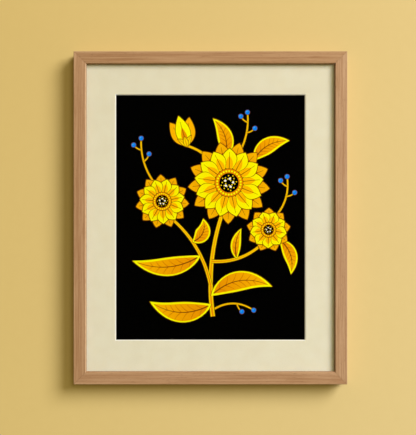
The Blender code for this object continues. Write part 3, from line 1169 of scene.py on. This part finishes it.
@dataclass
class Picture:
    """The whole picture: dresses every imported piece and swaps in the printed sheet."""

    # Tones and sight-edge marks partly stand in for light: the bottom rail's lighter tone evens out the
    # lamp's falloff, the left rail carries most painted highlight, the right rail painted shade on its
    # chamfer.
    rails: tuple[Rail, ...] = (
        Rail("rail_top", Grain.LEVEL, (3.1, 11.7, 5.9), (0.996, 0.970, 1.023), painted_sight_highlight=0.12),
        Rail("rail_bottom", Grain.LEVEL, (17.3, 2.9, 41.1), (1.077, 1.067, 1.184)),
        Rail("rail_left", Grain.UPRIGHT, (8.4, 23.6, 1.7), (1.038, 1.015, 1.105), painted_sight_highlight=0.58),
        Rail("rail_right", Grain.UPRIGHT, (29.8, 7.2, 13.5), (1.118, 1.149, 1.334), painted_chamfer_shade=0.60),
    )

    def dress(self, node: str, material: Material) -> None:
        """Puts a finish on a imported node.

        Args:
            node: The node's name.
            material: Its new material.
        """
        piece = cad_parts[node]
        piece.data.materials.clear()
        piece.data.materials.append(material)
        LOG.info("%s: %s", node, material.name)

    def moulding(self) -> None:
        """Dresses the four rails and glues their mitres."""
        for rail in self.rails:
            self.dress(rail.node, rail.material())
        left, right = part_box("rail_left"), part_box("rail_right")
        for piece in GlueLines().build((left[0], right[1])):
            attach(piece, BODY)
            LOG.info("%s: wood glue", piece.name)

    def stack(self) -> None:
        """Dresses the sheets held in the rebate and makes the print."""
        self.dress("glazing", ClearGlass().material())
        low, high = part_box("mat_board")
        self.dress("mat_board", MatBoard(low[2], high[2]).material())
        card = Board("mount_board", (0.80, 0.78, 0.72), (0.62, 0.59, 0.52), flecks=0.2)
        self.dress("mount_board", card.material())
        backing = Board("backing_board", linear(172, 138, 102), linear(120, 88, 60))
        self.dress("backing_board", backing.material())
        sheet = BotanicalPrint().build()
        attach(sheet, BODY)
        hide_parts("art_print")
        LOG.info("art_sheet: printed paper")

    def fittings(self) -> None:
        """Dresses the hanger, screws, tabs, V-nails and bumpers."""
        strip = PlatedSteel("plated_strip").material()
        screws = PlatedSteel("plated_screws", (0.70, 0.66, 0.55), (0.46, 0.42, 0.34), 0.30).material()
        rubber = BumperRubber().material()
        for node in sorted(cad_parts):
            if node.startswith(("tab_", "vnail_", "sawtooth_")):
                self.dress(node, strip)
            elif node.startswith("hanger_screw"):
                self.dress(node, screws)
            elif node.startswith("bumper_"):
                self.dress(node, rubber)


@dataclass(frozen=True)
class Lamp:
    """A soft oval light that points at the picture."""

    name: str
    towards: Triple
    distance: float
    size: Point
    power: float
    warmth: Colour
    glints: bool = True

    def hang(self, middle: Vector) -> None:
        """Hangs the light.

        Args:
            middle: The picture's middle.
        """
        data = bpy.data.lights.new(self.name, "AREA")
        data.shape = "ELLIPSE"
        data.size, data.size_y = self.size
        data.energy = self.power
        data.color = self.warmth
        made = add_object(data)
        direction = Vector(self.towards).normalized()
        made.location = middle + direction * self.distance
        made.rotation_euler = (-direction).to_track_quat("-Z", "Y").to_euler()
        made.visible_glossy = self.glints


@dataclass
class Studio:
    """The wall and floor of the studio, its lights and the camera."""

    distance: float = 1.5
    pixels_per_mm: float = 0.6225
    image_height: float = 435.0
    sensor: float = 36.0
    shift_left: float = 0.0039
    shift_up: float = 0.0005
    wall_half: float = 1.1
    wall_gap: float = 0.0004
    floor_drop: float = 1.0
    floor_half: float = 12.0
    # The wall's colours carry painted light: whiter at the right, and painted shade towards the top.
    painted_light_left: Colour = (0.809, 0.621, 0.263)
    painted_light_right: Colour = (0.809, 0.643, 0.320)
    painted_shade_head: Colour = (0.921, 0.896, 0.850)
    painted_light_across: Point = (-0.33, 0.33)
    painted_shade_up: Point = (-0.60, 0.05)
    speck: Colour = linear(190, 160, 100)
    floor_pale: Colour = (0.085, 0.083, 0.080)
    floor_dull: Colour = (0.070, 0.068, 0.065)
    floor_glow: Colour = (0.95, 0.94, 0.91)
    fill: Colour = (0.196, 0.160, 0.053)
    backdrop: Colour = (0.85, 0.835, 0.81)
    lamps: tuple[Lamp, ...] = (
        Lamp("key_light", (0.966, -1.0, 0.72), 5.71, (3.16, 3.44), 338.0, (1.0, 0.985, 0.965)),
        Lamp("fill_light", (0.2, -1.0, 0.19), 3.0, (0.8, 0.8), 14.9, (1.0, 0.94, 0.66), glints=False),
        Lamp("back_light", (0.35, 1.0, 0.45), 2.6, (1.4, 1.4), 55.0, (1.0, 0.99, 0.97)),
    )

    def __post_init__(self) -> None:
        """Finds the picture's middle and its front."""
        low, high = CAD_BOX
        self.middle = Vector(((low[0] + high[0]) / 2, low[1], (low[2] + high[2]) / 2))
        self.wall_y = high[1] + self.wall_gap

    def camera(self) -> None:
        """Sets the camera straight in front of the picture."""
        data = bpy.data.cameras.new("camera")
        view_height = self.image_height / self.pixels_per_mm * MM
        data.sensor_width = self.sensor
        data.lens = self.sensor * self.distance / view_height
        data.clip_start = 0.01
        made = add_object(data)
        made.location = self.middle + Vector((-self.shift_left, -self.distance, self.shift_up))
        made.rotation_euler = (math.pi / 2, 0.0, 0.0)
        bpy.context.scene.camera = made

    def sheet(self, name: str, corners: list[Triple], material: Material) -> Object:
        """Makes a flat studio surface that throws no light back.

        Args:
            name: Its name.
            corners: Its corners in order.
            material: Its finish.

        Returns:
            The surface.
        """
        mesh = bpy.data.meshes.new(name)
        mesh.from_pydata(corners, [], [tuple(range(len(corners)))])
        mesh.materials.append(material)
        made = add_object(mesh)
        made.visible_diffuse = False
        made.visible_glossy = False
        return made

    def wall(self) -> None:
        """Stands a yellow wall behind the picture, open to view from behind, with painted light: whiter
        towards the right and painted shade towards the top.
        """
        g = Graph("studio_wall")
        plaster = g.noise(g.place(60.0), 4.0, 0.6)
        where = g.axes(g.place())
        # Painted light: the wall whiter towards the right.
        wall_with_painted_light = g.blend(g.spread(where["X"], *self.painted_light_across), self.painted_light_left, self.painted_light_right)
        # Painted shade: the wall darker towards the top.
        wall_with_painted_light = g.blend(g.spread(where["Z"], *self.painted_shade_up), wall_with_painted_light, self.painted_shade_head, "MULTIPLY")
        g.colour(g.blend(g.spread(plaster, 0.3, 0.7, 0.0, 0.04), wall_with_painted_light, self.speck))
        g.relief(plaster, 0.3 * MM, 0.1)
        g.set(Roughness=0.95, Specular_IOR_Level=0.1)
        g.see_through(g.node("NewGeometry").outputs["Backfacing"])
        x, y, z = self.middle.x, self.wall_y, self.middle.z
        half, top, bottom = self.wall_half, z + self.wall_half, z - self.floor_drop
        corners = [(x - half, y, bottom), (x + half, y, bottom), (x + half, y, top), (x - half, y, top)]
        self.sheet("studio_wall", corners, g.material).visible_shadow = False

    def floor(self) -> None:
        """Lays a plain pale floor, lit mostly by its own even glow."""
        g = Graph("studio_floor")
        mottle = g.noise(g.place(3.0), 3.0)
        g.colour(g.blend(g.spread(mottle, 0.3, 0.7), self.floor_pale, self.floor_dull))
        g.shader.inputs["Emission Color"].default_value = (*self.floor_glow, 1.0)
        g.set(Roughness=0.9, Specular_IOR_Level=0.1, Emission_Strength=0.68)
        g.material.cycles.emission_sampling = "NONE"
        z, half = self.middle.z - self.floor_drop, self.floor_half
        corners = [(-half, -half, z), (half, -half, z), (half, half, z), (-half, half, z)]
        self.sheet("studio_floor", corners, g.material)

    def lights(self) -> None:
        """Hangs the lamps, and sets a world that fills the shadows but looks pale."""
        for lamp in self.lamps:
            lamp.hang(self.middle)
        world = bpy.data.worlds.new("studio_world")
        bpy.context.scene.world = world
        world.use_nodes = True
        nodes, links = world.node_tree.nodes, world.node_tree.links
        seen = nodes.new("ShaderNodeLightPath")
        hue = nodes.new("ShaderNodeMix")
        hue.data_type = "RGBA"
        hue.inputs[MIX_FIRST].default_value = (*self.fill, 1.0)
        hue.inputs[MIX_SECOND].default_value = (*self.backdrop, 1.0)
        links.new(seen.outputs["Is Camera Ray"], hue.inputs[MIX_SHARE])
        links.new(hue.outputs[MIX_RESULT], nodes["Background"].inputs["Color"])

    def build(self) -> None:
        """Builds the studio."""
        self.camera()
        self.wall()
        self.floor()
        self.lights()
        bpy.context.scene.view_settings.view_transform = "Standard"


def main() -> None:
    """Dresses the picture and sets up the studio."""
    studio = Studio()
    studio.build()
    LOG.info("studio ready")
    picture = Picture()
    picture.moulding()
    picture.stack()
    picture.fittings()


if __name__ == "__main__":
    main()
